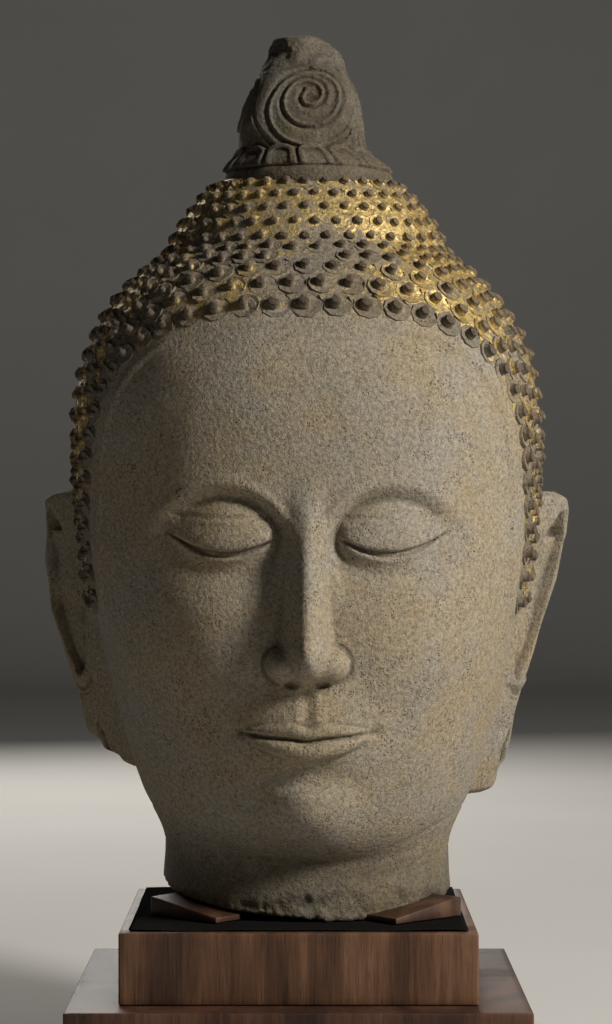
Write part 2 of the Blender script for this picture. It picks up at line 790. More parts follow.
def lower_lip(x):
    return 14.5 * np.clip(1 - (x / (0.97 * MOUTH_HALF)) ** 2.2, 0, 1) ** 0.62


def mouth(x, height):
    muzzle = 10.0 * swell(x, height, 0, MOUTH - 1, 74, 54)
    over = height - mouth_line(x)
    full = np.clip(1 - (x / MOUTH_HALF) ** 3, 0, 1)
    share = over / np.where(over >= 0, upper_lip(x) + 0.6, lower_lip(x) + 0.6)
    rise = np.clip(np.sin(math.pi * (0.14 + 0.66 * np.abs(share))), 0, 1) ** 0.7
    edge = 1 - smoothstep(0.88, 1.08, np.abs(share))
    lip = np.where(over >= 0, 8.5, 11.0) * rise * edge * full ** 0.7
    border = 0.8 * bell((np.abs(share) - 1.06) * 12, 1.6) * full
    parting = 3.4 * bell(over, 1.5) * (1 - smoothstep(0.9, 1.15, x / MOUTH_HALF))
    corner = 2.6 * swell(x, height, MOUTH_HALF + 3, mouth_line(MOUTH_HALF), 9, 8)
    inside = (x < MOUTH_HALF + 4)
    return muzzle + np.where(inside, lip + border - parting, 0) - corner


def philtrum(x, height):
    along = smoothstep(152, 158, height) * (1 - smoothstep(172, 180, height))
    return along * (0.8 * bell(x - 7.5, 3.2) - 1.5 * bell(x, 4.5))


def chin(x, height):
    crease = 4.6 * swell(x, height, 0, 113, 46, 16)
    ball = 12.0 * swell(x, height, 0, 84, 52, 38)
    under_lip = 1.2 * bell(height - 121 - 0.004 * x ** 2, 4) * (1 - smoothstep(20, 42, x))
    return ball - crease - under_lip


def cheeks(x, height):
    cheek = 6.0 * swell(x, height, 84, 214, 72, 74)
    temple = 4.0 * swell(x, height, 135, 335, 50, 70)
    jaw = 2.5 * swell(x, height, 98, 120, 50, 60)
    return cheek + jaw - temple


def relief(signed_x, height):
    """How far the face stands out from the egg, for both halves alike."""
    x = np.abs(signed_x)
    eye_base = smooth_max(socket_floor(x, height), eye_ball(x, height), 5)
    reach_of_eye = swell(x, height, EYE_X, BALL["height"], 66, 52, 0.35)
    eyes = np.where(reach_of_eye > 0, eye_base, socket_floor(x, height))
    eyes = socket_floor(x, height) + (eyes - socket_floor(x, height)) * np.minimum(1, 2
        * reach_of_eye)
    forms = [brow_ridge, lids, nose, mouth, philtrum, chin, cheeks]
    return eyes + sum(form(x, height) for form in forms)


print("tip of the nose stands out", round(float(np.max(relief(0.0, np.arange(180, 220.0)))), 1),
    "mm")

# %% [markdown]
# ## Carving the skin
#
# The neck was broken off long ago, so its lower edge is uneven. It stands a little higher in
# one place than in another, and the stone above it is chipped. A table gives the height of the
# edge round the neck, and rough noise breaks it up. The rest of the skin gets the slight
# unevenness of hand work.

# %% The broken edge of the neck
BROKEN_EDGE = [
    (0, 8), (90, 5), (180, 19), (205, 15), (225, 10.5), (242, 7), (262, 3),
    (280, 0), (300, 0.6), (312, 6), (322, 12), (340, 8), (360, 8)]
CHIPPED = [(0, 7), (90, 6), (180, 6), (225, 7), (250, 10), (275, 22), (300, 24), (318, 14), (335,
    6), (360, 7)]


def round_the_neck(table, turn):
    return np.interp(np.degrees(turn) % 360, *np.array(table, float).T)


def break_neck(places, turn, height, share):
    """Lifts the lower edge of the neck and chips the stone above it."""
    edge = round_the_neck(BROKEN_EDGE, turn)
    lift = edge * np.clip(1 - height / 90, 0, 1)
    underside = np.interp(share, [0, 0.74, 0.88, 1], [0, 0, 0.35, 1])
    places[:, 2] += np.where(share < 1, edge * underside, lift)
    chip_height = round_the_neck(CHIPPED, turn)
    coarse = roughness(places, 16, 3) + 0.5 * roughness(places, 7, 4)
    fine = 0.6 * roughness(places, 3.2, 5)
    broken = 1 - smoothstep(0.55, 1.0, height / (chip_height * (1 + 0.35 * coarse)))
    broken = np.where(share < 1, 1.0, broken)
    inward = broken * (3.2 * (1 - height / 40) + 2.2 * coarse + 1.4 * fine)
    rim_only = np.where(share < 1, smoothstep(0.7, 0.95, share), 1.0)
    radius = np.maximum(np.hypot(places[:, 0], places[:, 1]), 1)
    places[:, :2] *= (1 - rim_only * np.clip(inward, -2, 9) / radius)[:, None]
    rough_under = np.where(share < 1, smoothstep(0.72, 0.8, share), 0)
    places[:, 2] += rough_under * np.clip(1.6 * fine + 1.2 * coarse, 0, 4)
    return broken


# %% The skin's blank
ROWS = spaced([
    (0, 40, 2.6), (40, 120, 2.2), (120, 215, 1.1), (215, 262, 2.0), (262, 312, 1.0),
    (312, 345, 1.8), (345, 462, 2.4), (462, HEAD_TOP, 5)])
UNDERSIDE = [0, 0.3, 0.55, 0.72, 0.78, 0.84, 0.88, 0.91, 0.94, 0.97, 0.99]
COLUMN_KNOTS = [(0, 0), (0.42, 0.66), (0.78, 1.57), (1, math.pi)]
COLUMNS = 416

row_share = np.concatenate([UNDERSIDE, np.ones(len(ROWS))])
row_height = np.concatenate([np.zeros(len(UNDERSIDE)), ROWS])
skin, column, row = grid_blank(COLUMNS, len(row_share))
share, height = row_share[row], row_height[row]
from_front = 2 * column - 1
uneven = np.interp(np.abs(from_front), *np.array(COLUMN_KNOTS, float).T)
turn = FRONT_TURN + np.sign(from_front) * uneven
print("skin's blank:", len(skin.verts), "points in", len(row_share), "rows")

# %% The edge of the hair
CURL_REACH = 12
ARCH_POWER = 3.2
FACE_HALF, TEMPLE, SIDEBURN, NAPE = 157, 290, 238, 180
HAIR_BED = 1.5


def behind_hairline(points):
    """How far a point lies behind the edge of the hair, in mm, and below 0 on the face."""
    rise = np.clip((points[..., 2] - TEMPLE) / (HAIRLINE - TEMPLE), 0, None)
    across = np.abs(points[..., 0]) / FACE_HALF
    arch = (across ** ARCH_POWER + rise ** ARCH_POWER) ** (1 / ARCH_POWER)
    return np.where(points[..., 1] < 0, (arch - 1) * FACE_HALF, 3 * CURL_REACH)


def hair_bed(points):
    """The bed on which the curls stand, a step with a fine raised line along its edge."""
    behind = behind_hairline(points)
    above = smoothstep(SIDEBURN - 14, SIDEBURN - 6, points[..., 2])
    front = smoothstep(-6, -20, points[..., 1])
    bed = HAIR_BED * smoothstep(-2.6, 0.6, behind)
    line = 0.9 * bell(behind + 0.4, 1.7)
    return above * np.where(points[..., 1] < 0, bed * 1.0 + line * front, HAIR_BED)


# %% Carve the skin
NECK_CREASES = [(45, 0.0022, 0.9), (24, 0.0016, 0.6)]

places = egg_point(turn, height)
places[:, :2] *= share[:, None]
is_front = (np.sin(turn) < 0) & (share == 1)
lift = relief(places[:, 0], height) * smoothstep(30, 50, height)
places[:, 1] -= np.where(is_front, lift, 0)

outward = egg_normal(turn, height)
hand_work = 0.55 * roughness(places, 34, 1) + 0.22 * roughness(places, 13, 2)
for crease_height, bow, depth in NECK_CREASES:
    line = crease_height + bow * places[:, 0] ** 2
    hand_work -= depth * bell(height - line, 1.5) * smoothstep(40, 80, np.abs(places[:, 0]))
hand_work += hair_bed(places)
places += outward * np.where(share == 1, hand_work, 0)[:, None]
break_neck(places, turn, height, share)
carve(skin, places)
skin = as_object("stone_head", skin, TO_ROW)
SKIN_TRIANGLES = 62000
skin = thin_out(skin, SKIN_TRIANGLES)

# %% [markdown]
# ## Curls
#
# The hair is some eleven hundred snail-shell curls, all of one pattern. One curl is made once: a
# strip that winds inwards and upwards, each turn standing on the turn before it, up to a point.
# Because it is repeated so often it has only a few dozen faces. Copies are then set in rows
# like bricks: the first three rows follow the hairline and the others run level round the
# head. Gaps are filled last, and the curls then settle among their neighbours.

# %% One curl
PATTERN_PITCH = 20.0
CURL_RADIUS = 11.7
CURL_TURNS = 22 / 9
CURL_STEPS = 9
CURL_ROOT = -3.2
RISER_LEAN = 1.3
RING_ENDS, SPIRAL_SHARE = 1.01, 0.74


def curl_edge(turns):
    """Radius and height of the upper edge of the winding step, after so many turns."""
    radius = curl_foot_radius(turns) - RISER_LEAN * (1 - 0.3 * turns / CURL_TURNS)
    spiral_rise = 3.6 * smoothstep(RING_ENDS, 1.35, turns) + 1.9 * np.clip(turns - RING_ENDS, 0,
        None)
    return np.maximum(radius, 0), 2.4 + spiral_rise


def curl_foot_radius(turns):
    """A full ring first, then a spiral that winds in to the tip."""
    spiral = SPIRAL_SHARE * CURL_RADIUS * (CURL_TURNS - turns) / (CURL_TURNS - RING_ENDS)
    return np.maximum(np.where(turns < RING_ENDS, CURL_RADIUS, spiral), 0)


def curl_foot(turns):
    """Radius and height of the foot of the step."""
    height = np.where(turns < RING_ENDS, CURL_ROOT, curl_edge(turns - 1)[1] - 0.7)
    return curl_foot_radius(turns), height


def one_curl():
    steps = round(CURL_TURNS * CURL_STEPS)
    curl = bmesh.new()
    line = [curl.verts.new((radius, 0, 0)) for radius in (3, 2, 1)]
    edges = [curl.edges.new(pair) for pair in zip(line, line[1:])]
    bmesh.ops.spin(
        curl, geom=line + edges, cent=(0, 0, 0), axis=(0, 0, 1), dvec=(0, 0, 1 / CURL_STEPS),
        angle=2 * math.pi * steps / CURL_STEPS, steps=steps)
    wound = np.array([vert.co for vert in curl.verts])
    part = np.rint(np.hypot(wound[:, 0], wound[:, 1]))
    turns = wound[:, 2]
    radius, height = np.zeros(len(wound)), np.zeros(len(wound))
    for number, (shape, ahead) in {3: (curl_foot, 0), 2: (curl_edge, 0), 1: (curl_foot, 1)}.items():
        here = part == number
        radius[here], height[here] = shape(turns[here] + ahead)
    tip = radius < 0.07 * CURL_RADIUS
    radius[tip], height[tip] = 0, float(curl_edge(np.array([CURL_TURNS]))[1][0])
    angle = 2 * math.pi * turns
    places = np.stack([radius * np.cos(angle), radius * np.sin(angle), height], -1)
    for vert, place in zip(curl.verts, places):
        vert.co = place
    bmesh.ops.remove_doubles(curl, verts=curl.verts[:], dist=0.02)
    rim = [edge for edge in curl.edges if edge.is_boundary]
    bmesh.ops.holes_fill(curl, edges=rim, sides=0)
    bmesh.ops.recalc_face_normals(curl, faces=curl.faces[:])
    return as_object("one_curl", curl)


curl_pattern = one_curl()
CURL_TOP = max(vert.co.z for vert in curl_pattern.data.vertices)
print("one curl:", len(curl_pattern.data.polygons), "faces,", round(CURL_TOP, 1), "mm tall")

# %% Room for each curl
ROOM_BY_HEIGHT = [(NAPE, 19.5), (300, 18.6), (480, 18.2), (522, 15.8), (570, 14.8)]
ROOM_OVER_FACE = 4.4
ROW_SHARE = 0.85


def room_at(points):
    """Room that a curl takes, in mm: most over the forehead, least under the finial."""
    room = np.interp(points[..., 2], *np.array(ROOM_BY_HEIGHT, float).T)
    over_face = bell(points[..., 0], 115) * bell(points[..., 2] - 452, 34) * (points[..., 1] < 0)
    return room + ROOM_OVER_FACE * over_face


def counted(path):
    """How many curls fit along a path over the egg, up to each of its places."""
    points = egg_point(path[:, 0], path[:, 1])
    room = room_at(points)
    steps = np.linalg.norm(np.diff(points, axis=0), axis=1)
    return np.concatenate([[0], np.cumsum(2 * steps / (room[1:] + room[:-1]))])


def at_count(path, counts, wanted):
    return np.stack([np.interp(wanted, counts, path[:, 0]), np.interp(wanted, counts, path[:, 1])],
        -1)


def mirrored(row):
    return np.stack([-math.pi - row[:, 0], row[:, 1]], -1)


print("room for a curl over the forehead:", round(float(room_at(egg_point(FRONT_TURN, HAIRLINE))),
    1), "mm")

# %% Rows that follow the hairline
CURL_INSET = 10.5
ROWS_ALONG_HAIRLINE = 3
SIDE_SHARE = 0.965
TURN_STEP = 0.01
FILLET_HEIGHT = 565


def turn_at(x, height):
    """The turn at which the front of the egg is a distance x from the middle."""
    low_turn, high_turn = FRONT_TURN, 0.0
    for _ in range(30):
        middle = (low_turn + high_turn) / 2
        if egg_point(middle, height)[0] < x:
            low_turn = middle
        else:
            high_turn = middle
    return (low_turn + high_turn) / 2


def hairline_path():
    path = []
    for bend in np.linspace(math.pi / 2, 0, 201):
        x = (FACE_HALF + CURL_INSET) * max(math.cos(bend), 0) ** (2 / ARCH_POWER)
        height = TEMPLE + (HAIRLINE - TEMPLE + CURL_INSET) * math.sin(bend) ** (2 / ARCH_POWER)
        path.append((turn_at(x, height), height))
    for height in np.arange(TEMPLE - 2, SIDEBURN, -2):
        path.append((turn_at(SIDE_SHARE * egg_point(0, height)[0], height), height))
    return np.array(path)


def first_row():
    """The first row, from the left sideburn over the forehead to the right one."""
    path = hairline_path()
    counts = counted(path)
    count = round(counts[-1])
    right = at_count(path, counts, np.arange(count + 1) * counts[-1] / count)
    return np.concatenate([mirrored(right[:0:-1]), right])


def row_behind(row):
    """A row set like bricks behind another one, with a curl behind each gap."""
    points, out = egg_point(*row.T), egg_normal(*row.T)
    middle = (points[1:] + points[:-1]) / 2
    back = np.cross(out[1:] + out[:-1], points[1:] - points[:-1])
    back /= np.linalg.norm(back, axis=1, keepdims=True)
    placed = middle + ROW_SHARE * room_at(middle)[:, None] * back
    behind = np.stack([np.arctan2(placed[:, 1], placed[:, 0]), placed[:, 2]], -1)
    return behind[in_hair(*behind.T)]


def in_hair(turn, height):
    """True where curls may stand: behind the hairline, above the nape and clear of the ears."""
    points = egg_point(turn, height)
    low = np.where(points[..., 1] < 12, SIDEBURN - 4, NAPE - 4)
    behind = behind_hairline(points) > CURL_INSET + 1
    return behind & (height > low) & (height < FILLET_HEIGHT - 5) & ~under_ear(points)


def under_ear(points):
    return (np.abs(points[..., 0]) > 60) & (points[..., 2] < 328) & (np.abs(points[..., 1]
        - 4) < 15)


hairline_curls = first_row()
rows_at_front = [hairline_curls]
for _ in range(ROWS_ALONG_HAIRLINE - 1):
    rows_at_front.append(row_behind(rows_at_front[-1]))
front_curls = np.concatenate(rows_at_front)
print("curls in the rows along the hairline:", [len(row) for row in rows_at_front])

# %% Level rows round the rest of the head
def heights_between(start, end, turn):
    """Heights of the rows from one height to another, one row's room apart."""
    heights = np.arange(start, end + math.copysign(0.5, end - start), math.copysign(1, end - start))
    path = np.stack([np.full(len(heights), turn), heights], -1)
    counts = counted(path) / ROW_SHARE
    rows = round(counts[-1])
    return list(at_count(path, counts, np.arange(1, rows + 1) * counts[-1] / rows)[:, 1])


def level_path(height, taken):
    """The places of a row from the back of the head round to the rows at the front."""
    limit = 0.35 if height < SIDEBURN - 6 else FRONT_TURN
    turns = np.arange(BACK_TURN, limit, -TURN_STEP)
    points = egg_point(turns, height)
    gap = np.linalg.norm(points[:, None] - taken[None], axis=2).min(axis=1) / room_at(points)
    crowded = np.flatnonzero(gap <= 0.9)
    turns = turns[:crowded[0]] if len(crowded) else turns
    return np.stack([turns, np.full(len(turns), height)], -1)


def level_rows():
    taken = egg_point(*front_curls.T)
    top = rows_at_front[-1][:, 1].max() + 9
    heights = heights_between(top, FILLET_HEIGHT - 6, FRONT_TURN)[::-1] + [top]
    heights += heights_between(top, NAPE, BACK_TURN)
    rows = []
    for number, height in enumerate(heights):
        path = level_path(height, taken)
        counts = counted(path)
        stagger = 0.5 if number % 2 else 0.0
        closed = path[-1, 0] < FRONT_TURN + 2 * TURN_STEP
        whole = max(1, round(counts[-1])) if closed else max(1, round(counts[-1]
            - stagger)) + stagger
        half = at_count(path, counts, np.arange(stagger, whole + 0.01) * counts[-1] / whole)
        half = half[~under_ear(egg_point(*half.T))]
        twins = half[np.abs(np.cos(half[:, 0])) > 2 * TURN_STEP]
        rows += [half, mirrored(twins)]
    return np.concatenate(rows)


level_curls = level_rows()
print("curls in the level rows:", len(level_curls))

# %% Settle the curls among their neighbours
SETTLE_ROUNDS = 50
FILL_ABOVE = 0.84


def fill_gaps(others):
    """Adds a curl wherever there is still room for one."""
    turns, heights = np.meshgrid(np.arange(-math.pi, math.pi, 0.03), np.arange(NAPE,
        FILLET_HEIGHT - 5, 4))
    tries = np.stack([turns.ravel(), heights.ravel()], -1)
    tries = tries[in_hair(*tries.T)]
    points = egg_point(*tries.T)
    room = room_at(points)
    taken = egg_point(*np.concatenate([front_curls, others]).T)
    gap = np.linalg.norm(points[:, None] - taken[None], axis=2).min(axis=1) / room
    added = []
    while gap.max() > FILL_ABOVE:
        number = int(gap.argmax())
        added.append(tries[number])
        gap = np.minimum(gap, np.linalg.norm(points - points[number], axis=1) / room)
    return np.concatenate([others, added]) if added else others


def settle_curls(others):
    """Nudges the level rows apart until each curl has its own room."""
    places = np.concatenate([front_curls, others])
    fixed = np.arange(len(places)) < len(front_curls)
    for _ in range(SETTLE_ROUNDS):
        points = egg_point(*places.T)
        room = room_at(points)
        ways = points[:, None] - points[None]
        gaps = np.linalg.norm(ways, axis=2) + 1e9 * np.eye(len(points))
        push = np.clip((room[:, None] + room[None]) / 2 - gaps, 0, None) / gaps
        step = 0.3 * (ways * push[..., None]).sum(axis=1)
        step[fixed] = 0
        moved = points + step
        wanted = np.stack([np.arctan2(moved[:, 1], moved[:, 0]), moved[:, 2]], -1)
        allowed = in_hair(*wanted.T) & ~fixed
        places[allowed] = wanted[allowed]
    return places[~fixed]


level_curls = settle_curls(fill_gaps(level_curls))
all_curls = np.concatenate([front_curls, level_curls])
print("curls after filling the gaps:", len(all_curls))

# %% Set every curl
HAIR_SEED = 7
random = np.random.default_rng(HAIR_SEED)
MIDDLE_CURL = len(hairline_curls) // 2


def set_curls():
    """Copies the pattern to every place, each turned and sized a little differently."""
    hair = bmesh.new()
    facts = []
    points, normals = egg_point(*all_curls.T), egg_normal(*all_curls.T)
    rooms = room_at(points) / PATTERN_PITCH
    for number, (at, out, room) in enumerate(zip(points, normals, rooms)):
        size = room * (1 + 0.05 * random.uniform(-1, 1))
        tall = room * (1 + 0.10 * random.uniform(-1, 1))
        if number < len(hairline_curls):
            size, tall = 0.98 * size, 1.06 * tall
        if number == MIDDLE_CURL:
            size, tall = 1.1 * size, 1.08 * tall
        lean = Vector(random.uniform(-0.09, 0.09, 3))
        stand = (Vector(out) + lean).normalized().to_track_quat("Z", "Y").to_matrix().to_4x4()
        spun = Matrix.Rotation(random.uniform(-0.6, 0.6), 4, "Z")
        shape = Matrix.Diagonal((size, size, tall, 1))
        before = len(hair.verts)
        hair.from_mesh(curl_pattern.data)
        hair.verts.ensure_lookup_table()
        bmesh.ops.transform(
            hair, verts=hair.verts[before:],
            matrix=Matrix.Translation(Vector(at) + HAIR_BED * Vector(out)) @ stand @ spun @ shape)
        facts.append((number < len(hairline_curls), random.uniform()))
    return as_object("curls", hair, TO_ROW), facts


curls, curl_facts = set_curls()
curls.data.set_sharp_from_angle(angle=math.radians(50))
verts_each = len(curl_pattern.data.vertices)
rise_in_pattern = np.array([vert.co.z for vert in curl_pattern.data.vertices]) / CURL_TOP
bpy.data.objects.remove(curl_pattern)
print("hair:", len(curl_facts), "curls,", triangles_in(curls), "triangles")

# %% [markdown]
# ## Ears
#
# Each ear is a long strap that stands out and back from the side of the head, with a long leaf
# shaped hollow, a rim that curls in under it like a hook, and a lobe slit for a heavy earring.
# The strap is a rounded bar with tables for its edges. The carving is a relief over its front.
# The left lobe has broken off short.

# %% Tables of the ears
EAR_YAW = math.radians(40)
EAR_THICK = 14

RIGHT_EAR = {
    "side": 1, "bottom": 86, "top": 325,
    "outer": [
        (86, 139), (88, 144), (95, 148), (106, 150.5), (112, 156), (128, 160), (148, 163), (170,
            169),
        (193, 177), (222, 186), (255, 198), (285, 204), (292, 206.5), (310, 208.5), (319,
            207), (325, 198)],
    "inner": [(172, 159.5), (184, 161), (208, 163), (231, 161), (256, 169), (273, 177), (292, 187),
        (310, 200)],
    "rim": [(172, 160), (184, 165.5), (195, 171), (218, 180), (250, 190), (269, 196), (287, 200),
        (310, 201)],
    "hook": (163.5, 174), "step": (289, 297), "slit": [(107, 150.5), (113, 150), (124, 151.5),
        (136, 156)],
    "fold": [(284, 203.5), (296, 203), (312, 203.5)], "patch": (153, 149.5),
}
LEFT_EAR = {
    "side": -1, "bottom": 108, "top": 327,
    "outer": [
        (108, 138), (112, 143), (117, 147), (120, 159), (128, 164), (133, 174.5), (145, 177), (163,
            181),
        (187, 190), (210, 197), (231, 205), (250, 206), (271, 209), (290, 207), (318, 208.5), (327,
            194)],
    "inner": [(178, 173), (195, 173), (212, 174), (240, 171), (259, 176), (278, 185), (300, 193),
        (315, 204)],
    "rim": [(178, 174), (186, 180), (198, 187), (213, 193), (229, 199), (243, 203.5), (290, 204),
        (315, 205)],
    "hook": (175, 178), "step": (295, 303), "slit": [(108, 150), (120, 153), (134, 158), (144,
        162)],
    "fold": [(306, 206), (312, 206), (318, 206)], "patch": None,
}
print("the right ear is", RIGHT_EAR["top"] - RIGHT_EAR["bottom"], "mm long")


# %% Relief and shape of an ear
def ear_relief(ear, x, height):
    """How far the front of the strap stands up from its plain face."""
    inner, rim = curve(ear["inner"], height, 0.02), curve(ear["rim"], height, 0.02)
    low_end, high_end = ear["inner"][0][0], ear["inner"][-1][0]
    along = smoothstep(low_end - 1, low_end + 5, height) * (1 - smoothstep(high_end - 4, high_end
        + 1, height))
    inside = smoothstep(-1.2, 2.2, x - inner) * smoothstep(-1.0, 1.6, rim - x) * along
    depth = 8.5 - 2.5 * smoothstep(235, 200, height)
    step_low, step_high = ear["step"]
    pocket = smoothstep(step_low - 1, step_low + 1, height) * (1 - smoothstep(step_high - 0.8,
        step_high + 0.8, height))
    ledge = smoothstep(step_low - 26, step_low - 4, height) * (1 - smoothstep(step_low - 1,
        step_low + 1, height))
    lifted = -inside * (depth + 3.0 * pocket - 2.5 * ledge)

    outer = curve(ear["outer"], height, 0.02)
    strap_middle = (rim + outer) / 2
    strap = 2.2 * np.clip(1 - ((x - strap_middle) / np.maximum((outer - rim) / 2 + 1, 2)) ** 2, 0,
        1)
    lifted = lifted + strap * smoothstep(low_end - 6, low_end + 8, height)
    fold_x = curve(ear["fold"], height)
    fold_low, fold_high = ear["fold"][0][0], ear["fold"][-1][0]
    on_fold = smoothstep(fold_low, fold_low + 2, height) * (1 - smoothstep(fold_high - 2,
        fold_high, height))
    lifted = lifted - 2.4 * bell(x - fold_x, 1.0) * on_fold

    hook_x, hook_height = ear["hook"]
    off = np.hypot((x - hook_x) / 0.75, height - hook_height)
    lifted = lifted + 3.6 * np.clip(1 - (off / 7.5) ** 2, 0, 1) ** 0.6
    below = smoothstep(3, -3, height - hook_height)
    lifted = lifted - (1.8 * bell(off - 10.5, 1.0) + 1.2 * bell(off - 14.5, 1.0)) * below

    slit_x = curve(ear["slit"], height, 0.02)
    slit_low, slit_high = ear["slit"][0][0], ear["slit"][-1][0]
    on_slit = (1 - smoothstep(slit_high - 3, slit_high, height)) * (height > slit_low - 20)
    width = 0.8 + 0.9 * smoothstep(slit_high, slit_high - 18, height)
    lifted = lifted - 7.0 * bell(x - slit_x - 1.2, width) * on_slit
    lifted = lifted + 1.0 * bell(x - slit_x + 1.2, 1.2) * on_slit
    if ear["patch"] is not None:
        patch_x, patch_height = ear["patch"]
        on_patch = smoothstep(6.2, 4.6, np.abs(x - patch_x)) * smoothstep(11, 8.5, np.abs(height
            - patch_height))
        lifted = lifted + 0.9 * on_patch
    return lifted


EAR_COLUMNS, EAR_ROWS, FRONT_SHARE = 96, 190, 0.72


def carve_ear(name, ear):
    blank, column, row = grid_blank(EAR_COLUMNS, EAR_ROWS)
    height_share = row / (EAR_ROWS - 1)
    height = ear["bottom"] + (ear["top"] - ear["bottom"]) * height_share
    root = egg_point(0, height)[:, 0] - 5
    outer = curve(ear["outer"], height, 0.012)
    front = np.where(column < FRONT_SHARE, column / FRONT_SHARE, 1)
    behind = np.where(column < FRONT_SHARE, 0, (column - FRONT_SHARE) / (1 - FRONT_SHARE))
    angle = math.pi * (1 - front) - math.pi * behind
    start = root - 8
    half = (outer - start) / 2
    ends = np.minimum(smoothstep(0, 0.02, height_share), smoothstep(1, 0.975, height_share))
    thick = EAR_THICK / 2 * np.sqrt(np.maximum(ends, 0.0))
    x = start + half * (1 + np.sign(np.cos(angle)) * np.abs(np.cos(angle)) ** 0.62)
    bar = thick * np.sign(np.sin(angle)) * np.abs(np.sin(angle)) ** 0.42
    facing = smoothstep(0.5, 0.85, np.sin(angle))
    lift = bar - 1 + facing * ends * ear_relief(ear, x, height)
    way = (x - root) / math.sin(EAR_YAW)
    out = root + way * math.sin(EAR_YAW) + lift * math.cos(EAR_YAW)
    back = -6 + way * math.cos(EAR_YAW) - lift * math.sin(EAR_YAW)
    places = np.stack([ear["side"] * out, back, height], -1)
    places += 0.35 * np.stack([roughness(places, 12, seed) for seed in (21, 22, 23)], -1)
    carve(blank, places)
    return thin_out(as_object(name, blank, TO_ROW), 8000)


right_ear = carve_ear("right_ear", RIGHT_EAR)
left_ear = carve_ear("left_ear", LEFT_EAR)

# %% [markdown]
# ## Finial
#
# On the crown stands a carved finial: a fillet, a ring of lotus petals and a body with a large
# scroll on each of its four sides. Its top is worn and broken to a blunt hump. It is one
# blank again. The section goes from a circle at the petals to a square with soft corners, the
# scrolls are a relief that depends on the distance from each scroll's winding line, and rough
# noise wears the top.

# %% Sizes of the finial
FINIAL_WALL = [
    (548, 56), (558, 62.5), (564, 66), (568, 66.8), (572, 66.4), (574.2, 65.6), (575.2,
        63.6), (576.2, 64.4),
    (580, 62), (584, 57.6), (588, 52.6), (591, 50.6), (596, 50.4), (611, 49.2), (622, 47.2), (635,
        42.8),
    (647, 38), (655, 34.4), (665, 30), (673, 25.6), (679, 21.6), (682.5, 17), (684.5, 10), (685,
        0.1)]
FINIAL_MIDDLE = [
    (548, 1), (576, 1), (590, -3), (600, -4.4), (611, -5), (622, -4.6), (635, -3.1), (655,
        -2.6), (665, -1.6),
    (673, -3.6), (681, -5.4), (685, -6.6)]
PETALS, PETAL_PHASE = 14, math.radians(6.5)
PETAL_LOW, PETAL_TOP, PETAL_HALF, PETAL_CORNER = 576, 594.5, 11.0, 8.5
SCROLL_HEIGHT, SCROLL_ACROSS = 630.5, 6.0
SCROLL_RISE = [
    (-0.35, 5.8), (0, 6.0), (0.25, 9.0), (0.38, 10.9), (0.5, 12.6), (0.62, 16.8), (0.75,
        19.6), (0.88, 21.6),
    (1, 22.6), (1.12, 23.4), (1.25, 22.8), (1.38, 21.8), (1.5, 19), (1.62, 22), (1.75,
        28.5), (1.82, 34),
    (1.9, 38), (2, 38.5), (2.12, 40), (2.2, 38.8), (2.28, 34.5), (2.38, 28.5), (2.5, 25.5)]
SCROLL_END = 2.5


# %% Relief of a scroll and of the petals
def scroll_radius(turns):
    return curve(SCROLL_RISE, turns, 0.02)


def scroll_relief(across, up):
    """A thin raised lip that winds outwards, with a hollow channel between its turns."""
    angle = np.arctan2(across, -up) / (2 * math.pi) % 1
    radius = np.hypot(across, up)
    best = np.full(across.shape, 1e9)
    for lap in range(-1, 3):
        turns = lap + angle
        off = radius - scroll_radius(turns)
        on_line = (turns > -0.4) & (turns < SCROLL_END)
        best = np.where(on_line & (np.abs(off) < np.abs(best)), off, best)
    lip = 1.7 * bell(best, 1.1)
    drop = -2.3 * bell(best - 2.4, 1.7) * (best > 0)
    dish = -1.5 * np.exp(-np.clip(-best, 0, None) / 5.0) * smoothstep(0.8, 3.5, -best)
    eye = -2.2 * bell(radius, 3.6)
    return lip + drop + dish - 0.6 + eye


def corner_grooves(across, up):
    """Grooves that follow the scroll's outline towards the corners of the finial."""
    off = np.hypot(across, 0.94 * up + 3) - 40
    grooves = bell(off - 4.0, 1.3) + bell(off - 9.5, 1.5) + 0.8 * bell(off - 15, 1.6)
    return -1.9 * grooves * (off > 0)


def petal_relief(turn, height, radius):
    """Rounded petals side by side, each an arched frame, a fine line and a sunken panel."""
    wide = 2 * math.pi / PETALS
    across = (((turn - FRONT_TURN - PETAL_PHASE) / wide + 0.5) % 1 - 0.5) * wide * radius
    out_x = np.maximum(np.abs(across) - (PETAL_HALF - PETAL_CORNER), 0)
    out_z = np.maximum(height - (PETAL_TOP - PETAL_CORNER), 0)
    inward = PETAL_CORNER - np.hypot(out_x, 1.15 * out_z)
    stand = 3.6 * smoothstep(-0.6, 0.8, inward)
    line = 0.5 * bell(inward - 3.4, 0.45) - 0.8 * bell(inward - 2.5, 0.45)
    panel = -2.0 * smoothstep(3.6, 4.4, inward)
    return (stand + (line + panel) * (inward > 0)) * (height >= PETAL_LOW)


# %% Carve the finial
FINIAL_COLUMNS = 320
FINIAL_ROWS = spaced([(548, 572, 3), (572, 578, 0.8), (578, 597, 0.8), (597, 668, 0.9), (668, 685,
    1.1)])

finial, column, row = grid_blank(FINIAL_COLUMNS, len(FINIAL_ROWS) + 2)
heights = np.concatenate([[548], FINIAL_ROWS, [685]])
height = heights[row]
turn = 2 * math.pi * column - math.pi
wall = np.interp(height, *np.array(FINIAL_WALL, float).T)
squareness = 2 + 1.5 * smoothstep(590, 612, height) * (1 - smoothstep(640, 672, height))
radius = wall * (np.abs(np.cos(turn)) ** squareness
    + np.abs(np.sin(turn)) ** squareness) ** (-1 / squareness)
radius = np.where((row == 0) | (row == row.max()), 0, radius)

